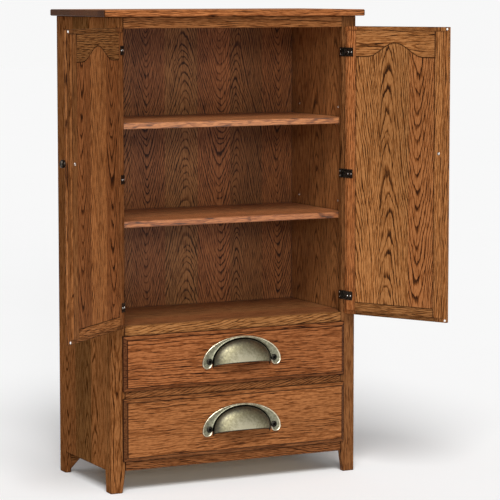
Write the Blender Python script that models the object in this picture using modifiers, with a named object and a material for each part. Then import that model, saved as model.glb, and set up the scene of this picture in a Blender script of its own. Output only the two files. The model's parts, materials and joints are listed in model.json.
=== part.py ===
"""Oak armoire: a face-framed case with two open bays above two lipped drawers.

Two lipped cathedral-panel doors hang on three small hinges each. The doors stand open at
rest and the drawers are shut. X runs along the front, Y to the back and Z up. The origin
is on the floor, at the centre of the box round the whole piece.
"""
import math

import bmesh
import bpy
from mathutils import Matrix, Vector

# --- Driving dimensions, in metres ---
GAP = 0.0003            # clearance between neighbouring pieces
HEIGHT = 1.450
WIDTH = 0.832
DEPTH = 0.408
STOCK = 0.019           # board thickness of frame, sides, shelves
SLAB_THICK = 0.020
SLAB_SIDE = 0.0215      # overhang of the top at each side
SLAB_FRONT = 0.022      # overhang of the top at the front
EASE = 0.0015           # softened edge of every board

STILE_WIDTH = 0.047
FOOT_TOP = 0.067        # height of the feet
FOOT_WIDTH = 0.038      # width of a front foot at the floor
FOOT_DEPTH = 0.044      # depth of the side's front foot, under the side
FOOT_DEPTH_FLOOR = 0.039
REAR_FOOT = 0.048
REAR_FOOT_FLOOR = 0.044

OPENING_TOP = 1.3955    # underside of the top rail
FLOOR_TOP = 0.507       # cabinet floor and top of the mid rail
MID_RAIL_LOW = 0.468
DIVIDER_TOP = 0.319
DIVIDER_LOW = 0.277
BOTTOM_RAIL_TOP = 0.106
SHELF_TOPS = {"upper": 1.115, "lower": 0.820}
SHELF_FRONT = 0.0205
BACK_FACE = 0.3905      # inside face of the back panel
BACK_THICK = 0.006
BACK_RAIL_TOP = 0.100
BRACKET_REACH = 0.061   # run and rise of the bracket cut at each rear foot
BRACKET_TIP = 0.010

PIN_RADIUS = 0.003
PIN_LENGTH = 0.009
PIN_INSET = 0.055       # pins stand this far from the shelf's front and rear edges

DRAWER_HALF = 0.377     # half width of a drawer front, lip included
DRAWER_FRONTS = {"upper": (0.309, 0.478), "lower": (0.096, 0.287)}
DRAWER_OPENINGS = {"upper": (DIVIDER_TOP, MID_RAIL_LOW), "lower": (BOTTOM_RAIL_TOP, DIVIDER_LOW)}
LIP_THICK = 0.005
LIP_REACH = 0.012       # lip left round the part that enters the opening
FRONT_BEVEL = 0.011     # sloped border of a drawer front
FRONT_RAISE = 0.007
STEP_WIDTH = 0.0006     # small upright step between the border and the field
STEP_RAISE = 0.0015
FRONT_BODY = 0.007      # depth of the part that enters the opening
BOX_HALF = 0.352
BOX_SIDE = 0.012
BOX_REAR = 0.370
BOX_LIFT = 0.004        # drawer box above the rail below it
BOX_DROP = 0.016        # drawer box below the rail above it
BOTTOM_LIFT = 0.008
BOTTOM_THICK = 0.006
GROOVE_DEPTH = 0.005
GUIDE_HALF = 0.012

DOOR_WIDTH = 0.3715
DOOR_LOW = 0.503
DOOR_HEIGHT = 0.8955
DOOR_LIP = 0.043        # case edge to the door's outer edge
DOOR_OPEN = {"left": 138.0, "right": 118.0}
REBATE = 0.013          # how far the door's inner body is set in from its lip
LIP_FRONT = -0.0065     # door surfaces, in Y from the hinge axis
LIP_BACK = 0.0030
BODY_BACK = 0.0125
AXIS_Y = -0.0065
AXIS_OUT = 0.003        # hinge axis outside the door's edge
DOOR_STILE = 0.0435
DOOR_RAIL = 0.039
ARCH_SHOULDER = 0.092   # below the door's top edge
ARCH_RISE = 0.043
ARCH_SPAN = 0.203       # the arch; a level shoulder is left at each end
TONGUE = 0.008
TONGUE_FRONT = 0.0
TONGUE_BACK = 0.006
PANEL_FRONT_RAISE = 0.0045
PANEL_BACK_RAISE = 0.0055
PANEL_BEVEL = 0.028
PANEL_GROOVE = 0.002    # flat between the frame and the bevelled field
PANEL_BACK_GAP = 0.0008
ARCH_STEPS = 32

HINGE_HEIGHT = 0.027
HINGE_LEAF = 0.022
HINGE_LIFTS = {"left": (0.066, 0.448, 0.829), "right": (0.059, 0.440, 0.816)}
HINGE_NAMES = ("low", "mid", "high")
KNUCKLE = 0.0024
KNOB_INSET = 0.028
KNOB_HEIGHT = 1.018

PULL_HALF = 0.1335
PULL_RISE = 0.080       # flange crown above the screw line
PULL_PLATE = 0.0025
DOME_HALF = 0.0975
DOME_RISE = 0.0705
DOME_OUT = 0.038
DOME_WALL = 0.0022
DOME_SKIRT = 0.013      # how far the rim hangs below the screw line at its ends
DOME_ARCH = 0.0165      # how much higher the rim's middle is
PULL_HEIGHTS = {"upper": 0.377, "lower": 0.168}
PULL_OFFSET = 0.015     # the pulls stand this far right of the middle


def clear_scene():
    """Remove every object the new file holds."""
    for item in list(bpy.data.objects):
        bpy.data.objects.remove(item, do_unlink=True)


def make_material(name, colour, roughness, metallic=0.0):
    material = bpy.data.materials.new(name)
    material.use_nodes = True
    shader = material.node_tree.nodes["Principled BSDF"]
    shader.inputs["Base Color"].default_value = (*colour, 1.0)
    shader.inputs["Roughness"].default_value = roughness
    shader.inputs["Metallic"].default_value = metallic
    return material


def make_collections():
    parts = bpy.data.collections.new("armoire")
    tools = bpy.data.collections.new("armoire_cutters")
    for group in (parts, tools):
        bpy.context.scene.collection.children.link(group)
    return parts, tools


def make_empty(name, location, angle=0.0, parent=None):
    empty = bpy.data.objects.new(name, None)
    PARTS.objects.link(empty)
    empty.location = location
    empty.rotation_euler.z = math.radians(angle)
    empty.parent = parent
    return empty


def add_object(name, mesh, material, parent, location=(0, 0, 0), bevel=EASE):
    """Link one named sub-part; its edges are eased by a small bevel."""
    item = bpy.data.objects.new(name, mesh)
    PARTS.objects.link(item)
    item.parent = parent
    item.location = location
    mesh.materials.clear()
    mesh.materials.append(material)
    if bevel:
        ease = item.modifiers.new("ease", "BEVEL")
        ease.width = bevel
        ease.segments = 1
        ease.limit_method = "ANGLE"
    return item


def add_cutter(name, mesh, parent):
    item = bpy.data.objects.new(name, mesh)
    CUTTERS.objects.link(item)
    item.parent = parent
    item.hide_render = True
    item.display_type = "WIRE"
    return item


def cut(item, cutter, operation="DIFFERENCE"):
    """Boolean an item with a cutter, after its edges are eased."""
    modifier = item.modifiers.new(operation.lower(), "BOOLEAN")
    modifier.operation = operation
    modifier.solver = "EXACT"
    modifier.object = cutter


def box_mesh(name, low, high):
    low, high = Vector(low), Vector(high)
    work = bmesh.new()
    bmesh.ops.create_cube(work, size=1.0)
    size = Matrix.Diagonal((high - low).to_4d())
    size[3][3] = 1.0
    work.transform(Matrix.Translation((low + high) / 2) @ size)
    mesh = bpy.data.meshes.new(name)
    work.to_mesh(mesh)
    work.free()
    return mesh


def box(name, low, high, material, parent, bevel=EASE):
    return add_object(name, box_mesh(name, low, high), material, parent, bevel=bevel)


def outline_mesh(name, outlines, low, high, plane):
    """Extrude flat outlines between two levels.

    plane "xz" extrudes along Y, "yz" along X and "xy" along Z. A second outline inside the
    first is a hole.
    """
    curve = bpy.data.curves.new(name, "CURVE")
    curve.dimensions = "2D"
    curve.fill_mode = "BOTH"
    curve.extrude = (high - low) / 2
    for points in outlines:
        spline = curve.splines.new("POLY")
        spline.points.add(len(points) - 1)
        for point, (a, b) in zip(spline.points, points):
            point.co = (a, b, 0, 1)
        spline.use_cyclic_u = True
    guide = bpy.data.objects.new(name + "_outline", curve)
    PARTS.objects.link(guide)
    evaluated = guide.evaluated_get(bpy.context.evaluated_depsgraph_get())
    mesh = bpy.data.meshes.new_from_object(evaluated)
    bpy.data.objects.remove(guide, do_unlink=True)
    middle = (high + low) / 2
    turns = {
        "xy": Matrix(((1, 0, 0, 0), (0, 1, 0, 0), (0, 0, 1, middle), (0, 0, 0, 1))),
        "xz": Matrix(((1, 0, 0, 0), (0, 0, 1, middle), (0, 1, 0, 0), (0, 0, 0, 1))),
        "yz": Matrix(((0, 0, 1, middle), (1, 0, 0, 0), (0, 1, 0, 0), (0, 0, 0, 1))),
    }
    work = bmesh.new()
    work.from_mesh(mesh)
    bmesh.ops.remove_doubles(work, verts=work.verts, dist=1e-5)
    bmesh.ops.dissolve_limit(work, angle_limit=0.001, verts=work.verts, edges=work.edges)
    work.transform(turns[plane])
    turn_out(work)
    work.to_mesh(mesh)
    work.free()
    return mesh


def turn_out(work):
    """Make a closed mesh's faces point outward."""
    bmesh.ops.recalc_face_normals(work, faces=work.faces)
    if work.calc_volume(signed=True) < 0:
        bmesh.ops.reverse_faces(work, faces=work.faces)


def facing(work, direction):
    """Return the faces that look straight along a direction."""
    work.faces.ensure_lookup_table()
    direction = Vector(direction)
    return [face for face in work.faces if face.normal.dot(direction) > 0.999]


def inset(work, faces, thickness, depth=0.0):
    """Inset flat faces evenly and raise them; the same faces are then the inner ones."""
    bmesh.ops.inset_region(
        work, faces=faces, thickness=thickness, depth=depth, use_boundary=True, use_even_offset=True
    )


def make_case(root):
    """Boards that make the fixed case and its face frame."""
    half = WIDTH / 2
    inner = half - STOCK
    carcass_top = HEIGHT - SLAB_THICK - GAP
    slab_low = (-half - SLAB_SIDE, -SLAB_FRONT, HEIGHT - SLAB_THICK)
    slab_high = (half + SLAB_SIDE, DEPTH, HEIGHT)
    box("top_slab", slab_low, slab_high, OAK, root, bevel=0.003)
    side_outline = [
        (STOCK + GAP, 0.0),
        (FOOT_DEPTH_FLOOR, 0.0),
        (FOOT_DEPTH, FOOT_TOP),
        (DEPTH - REAR_FOOT, FOOT_TOP),
        (DEPTH - REAR_FOOT_FLOOR, 0.0),
        (DEPTH, 0.0),
        (DEPTH, carcass_top),
        (STOCK + GAP, carcass_top),
    ]
    for side, sign in (("left", -1), ("right", 1)):
        low, high = sorted((sign * inner, sign * half))
        mesh = outline_mesh("side_panel_" + side, [side_outline], low, high, "yz")
        add_object("side_panel_" + side, mesh, OAK, root)
        stile = [
            (sign * half, 0.0),
            (sign * (half - FOOT_WIDTH), 0.0),
            (sign * (half - STILE_WIDTH), FOOT_TOP),
            (sign * (half - STILE_WIDTH), carcass_top),
            (sign * half, carcass_top),
        ]
        mesh = outline_mesh("stile_" + side, [stile], 0.0, STOCK, "xz")
        add_object("stile_" + side, mesh, OAK, root)

    reach = half - STILE_WIDTH - GAP
    rails = {
        "top_rail": (OPENING_TOP, carcass_top),
        "mid_rail": (MID_RAIL_LOW, FLOOR_TOP),
        "divider_rail": (DIVIDER_LOW, DIVIDER_TOP),
        "bottom_rail": (FOOT_TOP, BOTTOM_RAIL_TOP),
    }
    for name, (low, high) in rails.items():
        box(name, (-reach, 0.0, low), (reach, STOCK, high), OAK, root)

    bay = inner - GAP
    floor_low = (-bay, STOCK + GAP, FLOOR_TOP - STOCK)
    box("cabinet_floor", floor_low, (bay, BACK_FACE - GAP, FLOOR_TOP), OAK, root)
    back_low = (-bay, BACK_FACE, BACK_RAIL_TOP + GAP)
    box("back_panel", back_low, (bay, BACK_FACE + BACK_THICK, carcass_top), OAK, root, bevel=0)
    bracket = bay - BRACKET_TIP - BRACKET_REACH
    back_rail = [
        (-bay, FOOT_TOP - BRACKET_REACH),
        (-bay + BRACKET_TIP, FOOT_TOP - BRACKET_REACH),
        (-bracket, FOOT_TOP),
        (bracket, FOOT_TOP),
        (bay - BRACKET_TIP, FOOT_TOP - BRACKET_REACH),
        (bay, FOOT_TOP - BRACKET_REACH),
        (bay, BACK_RAIL_TOP),
        (-bay, BACK_RAIL_TOP),
    ]
    mesh = outline_mesh("back_foot_rail", [back_rail], DEPTH - STOCK, DEPTH, "xz")
    add_object("back_foot_rail", mesh, OAK, root)


def make_shelves(root):
    """Two loose shelves, each on four pins in the case sides."""
    bay = WIDTH / 2 - STOCK
    reach = bay - 2 * GAP
    for name, top in SHELF_TOPS.items():
        low = (-reach, SHELF_FRONT, top - STOCK)
        box("shelf_" + name, low, (reach, BACK_FACE - 2 * GAP, top), OAK, root)
        pin_top = top - STOCK - GAP
        for side, sign in (("left", -1), ("right", 1)):
            for place, y in (("front", SHELF_FRONT + PIN_INSET), ("rear", BACK_FACE - PIN_INSET)):
                work = bmesh.new()
                bmesh.ops.create_cone(
                    work, cap_ends=True, segments=16,
                    radius1=PIN_RADIUS, radius2=PIN_RADIUS, depth=PIN_LENGTH,
                )
                work.transform(Matrix.Rotation(math.pi / 2, 4, "Y"))
                mesh = bpy.data.meshes.new("shelf_pin")
                work.to_mesh(mesh)
                work.free()
                mesh.shade_smooth()
                mesh.set_sharp_from_angle(angle=math.radians(40))
                x = sign * (bay - GAP - PIN_LENGTH / 2)
                where = (x, y, pin_top - PIN_RADIUS)
                add_object(f"pin_{name}_{side}_{place}", mesh, STEEL, root, where, bevel=0)


def make_drawer(name, root):
    """A lipped front with its box and bottom, sliding on a centre guide."""
    front_low, front_high = DRAWER_FRONTS[name]
    open_low, open_high = DRAWER_OPENINGS[name]
    slide = make_empty(f"{name}_drawer_slide", (0, 0, 0), parent=root)
    lip_back = -0.0005
    work = bmesh.new()
    lip = box_mesh("lip", (-DRAWER_HALF, lip_back - LIP_THICK, front_low), (DRAWER_HALF, lip_back, front_high))
    work.from_mesh(lip)
    face = facing(work, (0, -1, 0))
    inset(work, face, FRONT_BEVEL, FRONT_RAISE)
    inset(work, face, STEP_WIDTH, STEP_RAISE)
    face = facing(work, (0, 1, 0))
    inset(work, face, LIP_REACH)
    grown = bmesh.ops.extrude_face_region(work, geom=face)
    moved = [v for v in grown["geom"] if isinstance(v, bmesh.types.BMVert)]
    bmesh.ops.translate(work, verts=moved, vec=(0, FRONT_BODY, 0))
    bmesh.ops.delete(work, geom=face, context="FACES_ONLY")
    turn_out(work)
    mesh = bpy.data.meshes.new("drawer_front")
    work.to_mesh(mesh)
    work.free()
    add_object(f"drawer_{name}_front", mesh, OAK, slide, bevel=0)

    low, high = open_low + BOX_LIFT, open_high - BOX_DROP
    near = lip_back + FRONT_BODY + GAP
    panel_low = low + BOTTOM_LIFT
    panel_high = panel_low + BOTTOM_THICK
    wall = BOX_HALF - BOX_SIDE
    for side, sign in (("left", -1), ("right", 1)):
        outline = [
            (sign * BOX_HALF, low),
            (sign * wall, low),
            (sign * wall, panel_low - GAP),
            (sign * (wall + GROOVE_DEPTH), panel_low - GAP),
            (sign * (wall + GROOVE_DEPTH), panel_high + GAP),
            (sign * wall, panel_high + GAP),
            (sign * wall, high),
            (sign * BOX_HALF, high),
        ]
        mesh = outline_mesh("drawer_side", [outline], near, BOX_REAR, "xz")
        add_object(f"drawer_{name}_side_{side}", mesh, PALE_WOOD, slide, bevel=0)
    back_low = (-wall + GAP, BOX_REAR - BOX_SIDE, panel_high + GAP)
    back_high = (wall - GAP, BOX_REAR, high)
    box(f"drawer_{name}_back", back_low, back_high, PALE_WOOD, slide, bevel=0.0008)
    tongue = wall + GROOVE_DEPTH - GAP
    base_low = (-tongue, near + GAP, panel_low)
    box(f"drawer_{name}_bottom", base_low, (tongue, BOX_REAR, panel_high), PALE_WOOD, slide, bevel=0)
    make_pull(name, slide, lip_back - LIP_THICK - FRONT_RAISE - STEP_RAISE - GAP)

    guide_high = panel_low - 2 * GAP
    guide_low = (-GUIDE_HALF, STOCK + GAP, guide_high - 0.026)
    guide_end = (GUIDE_HALF, BACK_FACE - 2 * GAP, guide_high)
    if name == "lower":
        guide_end = (GUIDE_HALF, BACK_FACE - 0.002, guide_high)
    box(f"drawer_guide_{name}", guide_low, guide_end, PALE_WOOD, root)


def make_pull(name, slide, face):
    """Cup pull: an arched flange with round lobes and a hollow dome, open below."""
    inner_half, inner_rise = DOME_HALF - 0.003, DOME_RISE - 0.003
    steps = 28
    outline = []
    for i in range(steps + 1):
        t = math.pi * i / steps
        outline.append((PULL_HALF * math.cos(t), PULL_RISE * math.sin(t)))
    lobe = (PULL_HALF - inner_half) / 2
    for i in range(1, 8):
        t = math.pi + math.pi * i / 8
        outline.append((-PULL_HALF + lobe + lobe * math.cos(t), lobe * math.sin(t)))
    for i in range(steps + 1):
        t = math.pi - math.pi * i / steps
        outline.append((inner_half * math.cos(t), inner_rise * math.sin(t)))
    for i in range(1, 8):
        t = math.pi + math.pi * i / 8
        outline.append((PULL_HALF - lobe + lobe * math.cos(t), lobe * math.sin(t)))
    mesh = outline_mesh("flange", [outline], face - PULL_PLATE, face, "xz")
    pull = add_object(f"cup_pull_{name}", mesh, BRASS, slide, (PULL_OFFSET, 0, PULL_HEIGHTS[name]), bevel=0)

    work = bmesh.new()
    bmesh.ops.create_uvsphere(work, u_segments=72, v_segments=24, radius=1.0)
    for removed in ((0, 1, 0), (0, 0, -1)):
        everything = work.verts[:] + work.edges[:] + work.faces[:]
        bmesh.ops.bisect_plane(
            work, geom=everything, dist=1e-6, plane_co=(0, 0, 0), plane_no=removed, clear_outer=True
        )
    for vert in work.verts:
        t = math.atan2(-vert.co.y, vert.co.x)
        foot = DOME_ARCH * max(math.sin(t), 0.0) ** 0.6 - DOME_SKIRT
        z = foot + (DOME_RISE - foot) * vert.co.z
        shrink = math.sqrt(max(1 - (max(z, 0.0) / DOME_RISE) ** 2, 0.0))
        y = face - 0.0006 - DOME_OUT * math.sin(t) * shrink
        vert.co = (DOME_HALF * math.cos(t) * shrink, y, z)
    bmesh.ops.recalc_face_normals(work, faces=work.faces)
    centre = Vector((0, face, 0))
    if sum(f.normal.dot(f.calc_center_median() - centre) for f in work.faces) < 0:
        bmesh.ops.reverse_faces(work, faces=work.faces)
    mesh = bpy.data.meshes.new("dome")
    work.to_mesh(mesh)
    work.free()
    dome = add_cutter(f"dome_{name}", mesh, slide)
    dome.location = pull.location
    shell = dome.modifiers.new("wall", "SOLIDIFY")
    shell.thickness = DOME_WALL
    shell.offset = -1.0
    cut(pull, dome, "UNION")


def arch_height(u):
    """Underside of the door's top rail at a distance u from the hinge edge."""
    phase = 2 * math.pi * (u - DOOR_WIDTH / 2) / ARCH_SPAN
    phase = max(-math.pi, min(math.pi, phase))
    return DOOR_HEIGHT - ARCH_SHOULDER + ARCH_RISE * (1 + math.cos(phase)) / 2


def panel_outline(sign, grow):
    """Outline of the door's arched opening, grown outward by a margin."""
    start, end = DOOR_STILE - grow, DOOR_WIDTH - DOOR_STILE + grow
    points = [(end, DOOR_RAIL - grow), (start, DOOR_RAIL - grow)]
    for i in range(ARCH_STEPS + 1):
        u = start + (end - start) * i / ARCH_STEPS
        points.append((u, arch_height(u) + grow))
    return [(sign * (AXIS_OUT + u), z) for u, z in points]


def door_span(sign, low, high):
    """X limits in the door's own frame, for distances from its hinge edge."""
    return sorted((sign * (AXIS_OUT + low), sign * (AXIS_OUT + high)))


def make_door(side, root):
    """Lipped door of two stiles, two rails and a panel in grooves, with its knob."""
    sign = 1 if side == "left" else -1
    axis_x = -sign * (WIDTH / 2 - DOOR_LIP + AXIS_OUT)
    axis = make_empty(f"{side}_door_axis", (axis_x, AXIS_Y, DOOR_LOW), -sign * DOOR_OPEN[side], root)

    rebate_outer = [(-0.05, -0.05), (DOOR_WIDTH + 0.05, -0.05),
                    (DOOR_WIDTH + 0.05, DOOR_HEIGHT + 0.05), (-0.05, DOOR_HEIGHT + 0.05)]
    far, top = DOOR_WIDTH - REBATE, DOOR_HEIGHT - REBATE
    rebate_inner = [(REBATE, REBATE), (far, REBATE), (far, top), (REBATE, top)]
    rings = [[(sign * (AXIS_OUT + u), z) for u, z in ring] for ring in (rebate_outer, rebate_inner)]
    mesh = outline_mesh("rebate", rings, LIP_BACK, BODY_BACK + 0.01, "xz")
    rebate = add_cutter(f"rebate_{side}", mesh, axis)
    outline = panel_outline(sign, TONGUE + GAP)
    mesh = outline_mesh("groove", [outline], TONGUE_FRONT - GAP, TONGUE_BACK + GAP, "xz")
    groove = add_cutter(f"groove_{side}", mesh, axis)

    spans = {
        "hinge_stile": (0.0, DOOR_STILE),
        "free_stile": (DOOR_WIDTH - DOOR_STILE, DOOR_WIDTH),
    }
    members = []
    for name, (start, end) in spans.items():
        low, high = door_span(sign, start, end)
        members.append(box(f"door_{side}_{name}", (low, LIP_FRONT, 0), (high, BODY_BACK, DOOR_HEIGHT), OAK, axis))
    start, end = DOOR_STILE + GAP, DOOR_WIDTH - DOOR_STILE - GAP
    low, high = door_span(sign, start, end)
    members.append(box(f"door_{side}_bottom_rail", (low, LIP_FRONT, 0), (high, BODY_BACK, DOOR_RAIL), OAK, axis))
    arch = [(end, DOOR_HEIGHT), (start, DOOR_HEIGHT)]
    for i in range(ARCH_STEPS + 1):
        u = start + (end - start) * i / ARCH_STEPS
        arch.append((u, arch_height(u)))
    arch = [(sign * (AXIS_OUT + u), z) for u, z in arch]
    mesh = outline_mesh("arched_rail", [arch], LIP_FRONT, BODY_BACK, "xz")
    members.append(add_object(f"door_{side}_arched_rail", mesh, OAK, axis))
    for member in members:
        cut(member, groove)
        cut(member, rebate)
    for member in members:
        member.modifiers["ease"].width = 0.001

    make_panel(side, sign, axis)
    make_knob(side, sign, axis)
    for name, lift in zip(HINGE_NAMES, HINGE_LIFTS[side]):
        make_hinge(f"{side}_{name}", sign, axis, root, lift)


def make_panel(side, sign, axis):
    """Cathedral panel: a tongue all round, a bevelled field in front, a flat field behind."""
    sections = (
        (-PANEL_GROOVE - PANEL_BEVEL, TONGUE_FRONT - PANEL_FRONT_RAISE),
        (-PANEL_GROOVE, TONGUE_FRONT),
        (TONGUE - GAP, TONGUE_FRONT),
        (TONGUE - GAP, TONGUE_BACK),
        (-PANEL_BACK_GAP, TONGUE_BACK),
        (-2 * PANEL_BACK_GAP, TONGUE_BACK + PANEL_BACK_RAISE),
    )
    work = bmesh.new()
    rings = []
    for grow, y in sections:
        rings.append([work.verts.new((x, y, z)) for x, z in panel_outline(sign, grow)])
    for first, second in zip(rings, rings[1:]):
        for i in range(len(first)):
            work.faces.new((first[i - 1], first[i], second[i], second[i - 1]))
    work.faces.new(rings[0])
    work.faces.new(rings[-1])
    turn_out(work)
    mesh = bpy.data.meshes.new("panel")
    work.to_mesh(mesh)
    work.free()
    add_object(f"door_{side}_panel", mesh, OAK, axis, bevel=0)


def make_knob(side, sign, axis):
    """Round turned knob on the door's outer face."""
    profile = (
        (0.0, 0.0280), (0.0060, 0.0275), (0.0105, 0.0250), (0.0125, 0.0205), (0.0112, 0.0160),
        (0.0070, 0.0120), (0.0056, 0.0080), (0.0062, 0.0040), (0.0088, 0.0018), (0.0088, 0.0), (0.0, 0.0),
    )
    work = bmesh.new()
    verts = [work.verts.new((r, 0, z)) for r, z in profile]
    for first, second in zip(verts, verts[1:]):
        work.edges.new((first, second))
    mesh = bpy.data.meshes.new("knob")
    work.to_mesh(mesh)
    work.free()
    x = sign * (AXIS_OUT + DOOR_WIDTH - KNOB_INSET)
    where = (x, LIP_FRONT - GAP, KNOB_HEIGHT - DOOR_LOW)
    knob = add_object(f"door_{side}_knob", mesh, BLACK, axis, where, bevel=0)
    knob.rotation_euler.x = math.pi / 2
    turn = knob.modifiers.new("turn", "SCREW")
    turn.steps = 24
    turn.render_steps = 24
    turn.use_merge_vertices = True
    turn.merge_threshold = 0.00001
    turn.use_smooth_shade = True


def arc(start, end, steps):
    """Points of the knuckle's round side, by angle in degrees."""
    angles = [math.radians(start + (end - start) * i / steps) for i in range(steps + 1)]
    return [(KNUCKLE * math.cos(a), KNUCKLE * math.sin(a)) for a in angles]


def make_hinge(name, sign, axis, root, lift):
    """Wrap hinge: one leaf in the case opening and one round the door's rebate."""
    low, high = lift - HINGE_HEIGHT / 2, lift + HINGE_HEIGHT / 2
    third = HINGE_HEIGHT / 3
    stile_edge = STILE_WIDTH - DOOR_LIP + AXIS_OUT
    body_edge = AXIS_OUT + REBATE
    leaf = 0.0012
    web = 0.0015
    face = -AXIS_Y - GAP
    lip = LIP_BACK + GAP
    inside = BODY_BACK + GAP

    door_leaf = [
        (AXIS_OUT - GAP, 0.0012),
        (AXIS_OUT - GAP, lip),
        (body_edge - GAP, lip),
        (body_edge - GAP, inside),
        (body_edge + HINGE_LEAF, inside),
        (body_edge + HINGE_LEAF, inside + leaf),
        (body_edge - GAP - leaf, inside + leaf),
        (body_edge - GAP - leaf, lip + leaf),
        (-web, lip + leaf),
    ] + arc(129, 390, 20)
    case_leaf = [
        (web, face - leaf),
        (stile_edge + GAP + leaf, face - leaf),
        (stile_edge + GAP + leaf, face + 0.0155),
        (stile_edge + GAP, face + 0.0155),
        (stile_edge + GAP, face),
        (-0.0045, face),
        (-0.0045, face - leaf),
        (-web, face - leaf),
    ] + arc(129, 411, 22)
    x_low, x_high = sorted((-sign * 0.006, sign * 0.0036))

    for which, outline, parent in (("door", door_leaf, axis), ("case", case_leaf, root)):
        points = [(sign * x, y) for x, y in outline]
        mesh = outline_mesh("hinge_leaf", [points], low, high, "xy")
        item = add_object(f"hinge_{name}_{which}", mesh, BLACK, parent, bevel=0)
        cuts = [(lift - third / 2 - GAP, lift + third / 2 + GAP)]
        if which == "case":
            item.location = (axis.location.x, AXIS_Y, DOOR_LOW)
            cuts = [(low - 0.01, lift - third / 2), (lift + third / 2, high + 0.01)]
        for index, (z_low, z_high) in enumerate(cuts):
            block = box_mesh("notch", (x_low, -0.006, z_low), (x_high, face - leaf + 0.0001, z_high))
            cutter = add_cutter(f"notch_{name}_{which}_{index}", block, parent)
            cutter.location = item.location
            cut(item, cutter)


def centre_footprint(root):
    """Put the floor centre of the whole piece's box at the world origin."""
    bpy.context.view_layer.update()
    graph = bpy.context.evaluated_depsgraph_get()
    corners = []
    for item in PARTS.objects:
        if item.type != "MESH":
            continue
        evaluated = item.evaluated_get(graph)
        corners += [item.matrix_world @ v.co for v in evaluated.data.vertices]
    for axis in (0, 1):
        values = [corner[axis] for corner in corners]
        root.location[axis] = -(min(values) + max(values)) / 2
    bpy.context.view_layer.update()


clear_scene()
PARTS, CUTTERS = make_collections()
OAK = make_material("oak", (0.36, 0.16, 0.065), 0.42)
PALE_WOOD = make_material("drawer_wood", (0.52, 0.34, 0.18), 0.55)
BRASS = make_material("antique_brass", (0.36, 0.32, 0.18), 0.38, 1.0)
BLACK = make_material("dark_bronze", (0.03, 0.025, 0.02), 0.45, 0.8)
STEEL = make_material("pin_steel", (0.60, 0.58, 0.54), 0.35, 1.0)

armoire = make_empty("armoire_origin", (0, 0, 0))
make_case(armoire)
make_shelves(armoire)
for drawer in DRAWER_FRONTS:
    make_drawer(drawer, armoire)
for door in DOOR_OPEN:
    make_door(door, armoire)
centre_footprint(armoire)
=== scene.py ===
"""Looks of the oak armoire: stained oak boards, antique cup pulls, screws, studio.

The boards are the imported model's own nodes. Each gets an oak material whose growth rings run
along that board. The cup pulls are rebuilt as finer pieces, and screw heads, door bumpers and
shelf-pin sleeves are added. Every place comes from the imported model.
"""

import json
import math

import bmesh
import bpy
from mathutils import Matrix, Vector


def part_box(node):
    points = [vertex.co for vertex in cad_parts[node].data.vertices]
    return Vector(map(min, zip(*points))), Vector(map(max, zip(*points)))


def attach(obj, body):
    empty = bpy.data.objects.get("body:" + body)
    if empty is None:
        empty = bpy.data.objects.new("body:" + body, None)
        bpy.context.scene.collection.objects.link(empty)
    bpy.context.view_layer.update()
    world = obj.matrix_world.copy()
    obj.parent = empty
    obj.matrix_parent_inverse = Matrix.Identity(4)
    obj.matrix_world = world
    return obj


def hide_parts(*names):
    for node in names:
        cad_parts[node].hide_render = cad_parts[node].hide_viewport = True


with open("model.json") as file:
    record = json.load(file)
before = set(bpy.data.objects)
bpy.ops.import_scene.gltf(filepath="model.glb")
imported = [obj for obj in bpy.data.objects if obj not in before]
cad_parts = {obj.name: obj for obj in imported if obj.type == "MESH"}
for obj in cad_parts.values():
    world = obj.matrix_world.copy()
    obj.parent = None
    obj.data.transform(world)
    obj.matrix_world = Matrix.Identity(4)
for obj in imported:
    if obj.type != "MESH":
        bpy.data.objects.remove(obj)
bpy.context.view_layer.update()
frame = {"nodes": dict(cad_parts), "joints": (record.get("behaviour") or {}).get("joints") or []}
NODES = frame["nodes"]
JOINTS = {joint["name"]: joint for joint in frame["joints"]}

# --- How far each door stands turned from shut, in degrees ---
SWING = {
    "left": -JOINTS["left_door_hinge"]["range_deg"][1],
    "right": -JOINTS["right_door_hinge"]["range_deg"][0],
}

# --- View, in degrees and metres from the case's front-left corner on the floor ---
CAMERA_PLACE = Vector((-2.771, -6.516, 1.506))
CAMERA_HEADING = 26.42
CAMERA_DROP = 6.186
CAMERA_LENS = 172.06
CAMERA_REACH = 100.0
SENSOR = 36.0

# --- Oak colours, light wood to dark pore ---
OAK = ((0.325, 0.130, 0.043), (0.175, 0.058, 0.015), (0.024, 0.008, 0.003))
PALE_OAK = ((0.66, 0.47, 0.27), (0.52, 0.34, 0.18), (0.33, 0.19, 0.09))

# --- Oak growth, in metres; each scale is waves per metre across the grain and along it ---
RING_SPACING = 0.0068
RING_ONSET = 0.88             # part of a year's ring where its dark early wood begins
RING_FADE = 0.34              # and part of the next ring over which it fades
PITH_DEPTH = 0.020            # how far the tree's heart lies under a board's face
HEART_SPREAD = 0.6            # share of a strip's width in which its heart may lie
HEART_SWAY = 0.04             # how far the heart wanders sideways along a board
HEART_RISE = 0.02             # and through its thickness
HEART_SCALE = 4.0
RIPPLE_SIZE = 0.009           # slow waves of the rings
RIPPLE_SCALE = (30.0, 4.5)
SHAKE_SIZE = 0.0032           # and quick ones
SHAKE_SCALE = (130.0, 26.0)
YEARS_SCALE = 45.0            # good and bad years: wide and narrow rings
YEARS_SIZE = 2.4
FORCE_SCALE = (22.0, 2.5)     # where the rings show boldly
PORE_SCALE = (330.0, 20.0)
FINE_SCALE = (480.0, 50.0)
PATCH_SCALE = (9.0, 1.6)      # lighter and darker parts of a board
END_STAIN = 0.88              # how much darker end grain is
WHOLE = 0.30                  # strip width that leaves a narrow board in one piece
BOX_STRIP = 0.14              # strip width of the pale drawer boxes

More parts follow.
